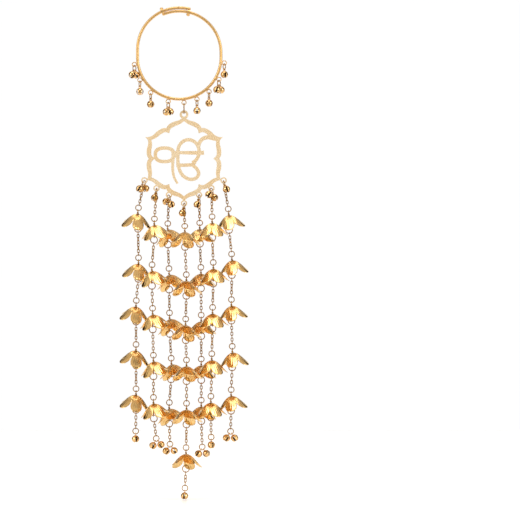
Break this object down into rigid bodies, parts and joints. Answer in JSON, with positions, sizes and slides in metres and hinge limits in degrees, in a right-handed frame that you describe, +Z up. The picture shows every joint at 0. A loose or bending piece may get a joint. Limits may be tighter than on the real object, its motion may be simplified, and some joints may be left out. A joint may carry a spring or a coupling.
{
  "type": "bridal kalire ornament",
  "caption": "Wire bangle edged with jingle bells; a pierced scalloped plaque hangs from it on a link, and strands of pressed flowers and bells hang from the plaque.",
  "frame": {"origin": "inside top of the bangle's wire, straight above the drop's axis, where the ornament hangs", "axes": "+Z up, +X to the viewer's right, +Y away from the viewer; the plaque and the bangle lie in the XZ plane"},
  "size_m": [0.0972, 0.0444, 0.3694],
  "materials": {
    "bangle_wire": "polished gold-plated brass wire",
    "plaque_sheet": "satin gold-plated brass sheet",
    "petal_sheet": "polished pressed gold-plated brass sheet",
    "ring_wire": "polished pale gold-plated wire",
    "bell_shells": "polished gold-plated bell shells"
  },
  "bodies": {
    "bangle": {"bangle": "bangle_wire", "bangle_bells_left": "bell_shells", "bangle_bells_right": "bell_shells"},
    "link": {"main_link": "ring_wire"},
    "drop": {"plaque": "plaque_sheet", "plaque_bells_left": "bell_shells", "plaque_bells_right": "bell_shells", "strand_1": "ring_wire", "strand_2": "ring_wire", "strand_3": "ring_wire", "strand_4": "ring_wire", "strand_5": "ring_wire", "strand_6": "ring_wire", "strand_7": "ring_wire", "tip_bells_1": "bell_shells", "tip_bells_2": "bell_shells", "tip_bells_3": "bell_shells", "tip_bells_4": "bell_shells", "tip_bells_5": "bell_shells", "tip_bells_6": "bell_shells", "tip_bells_7": "bell_shells", "flower_1_1": "petal_sheet", "flower_1_2": "petal_sheet", "flower_1_3": "petal_sheet", "flower_1_4": "petal_sheet", "flower_1_5": "petal_sheet", "flower_1_6": "petal_sheet", "flower_1_7": "petal_sheet", "flower_2_1": "petal_sheet", "flower_2_2": "petal_sheet", "flower_2_3": "petal_sheet", "flower_2_4": "petal_sheet", "flower_2_5": "petal_sheet", "flower_2_6": "petal_sheet", "flower_2_7": "petal_sheet", "flower_3_1": "petal_sheet", "flower_3_2": "petal_sheet", "flower_3_3": "petal_sheet", "flower_3_4": "petal_sheet", "flower_3_5": "petal_sheet", "flower_3_6": "petal_sheet", "flower_3_7": "petal_sheet", "flower_4_1": "petal_sheet", "flower_4_2": "petal_sheet", "flower_4_3": "petal_sheet", "flower_4_4": "petal_sheet", "flower_4_5": "petal_sheet", "flower_4_6": "petal_sheet", "flower_4_7": "petal_sheet", "flower_5_1": "petal_sheet", "flower_5_2": "petal_sheet", "flower_5_3": "petal_sheet", "flower_5_4": "petal_sheet", "flower_5_5": "petal_sheet", "flower_5_6": "petal_sheet", "flower_5_7": "petal_sheet", "flower_6_4": "petal_sheet"}
  },
  "joints": [
    {"name": "link_swing", "type": "hinge", "parent": "bangle", "child": "link", "pos_m": [0, 0, -0.0688], "axis": [1, 0, 0], "range_deg": [-80, 80]},
    {"name": "plaque_swing", "type": "hinge", "parent": "link", "child": "drop", "pos_m": [0, 0, -0.07545], "axis": [0, 1, 0], "range_deg": [-30, 30]}
  ]
}
